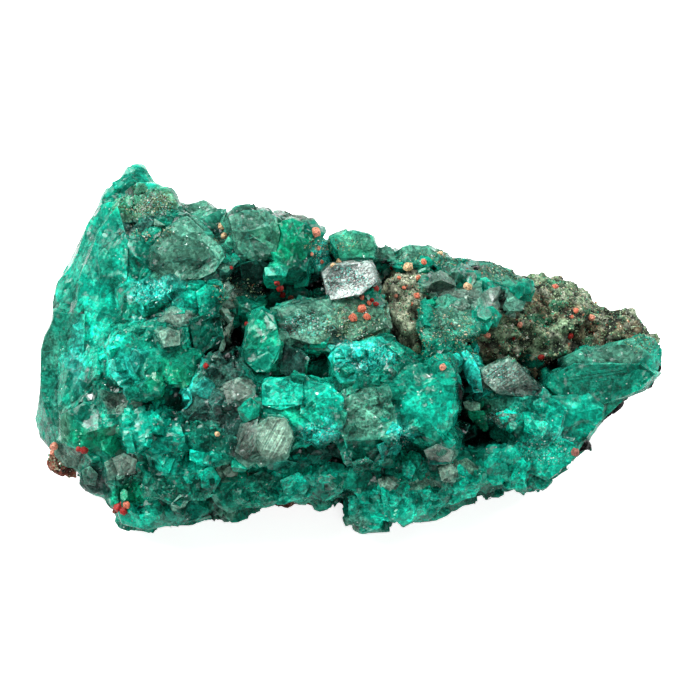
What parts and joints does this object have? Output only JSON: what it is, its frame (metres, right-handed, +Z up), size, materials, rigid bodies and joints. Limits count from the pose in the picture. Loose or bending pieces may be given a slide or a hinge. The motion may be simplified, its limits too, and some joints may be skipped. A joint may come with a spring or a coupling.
{
  "type": "dioptase specimen",
  "caption": "Hand specimen of dioptase: a thick crust of green crystals grown over a piece of matrix rock that it rests on, for a shelf, a desk or a mineral case",
  "frame": {"origin": "On the table under the middle of the specimen", "axes": "+X along the length to the narrow end, +Y to the back, +Z up"},
  "size_m": [0.064, 0.0377, 0.0189],
  "materials": {
    "dioptase": "vitreous green crystal, translucent",
    "matrix": "rough gritty olive-brown rock"
  },
  "bodies": {
    "root": {"dioptase_crystals": "dioptase", "matrix_rock": "matrix"}
  },
  "joints": []
}
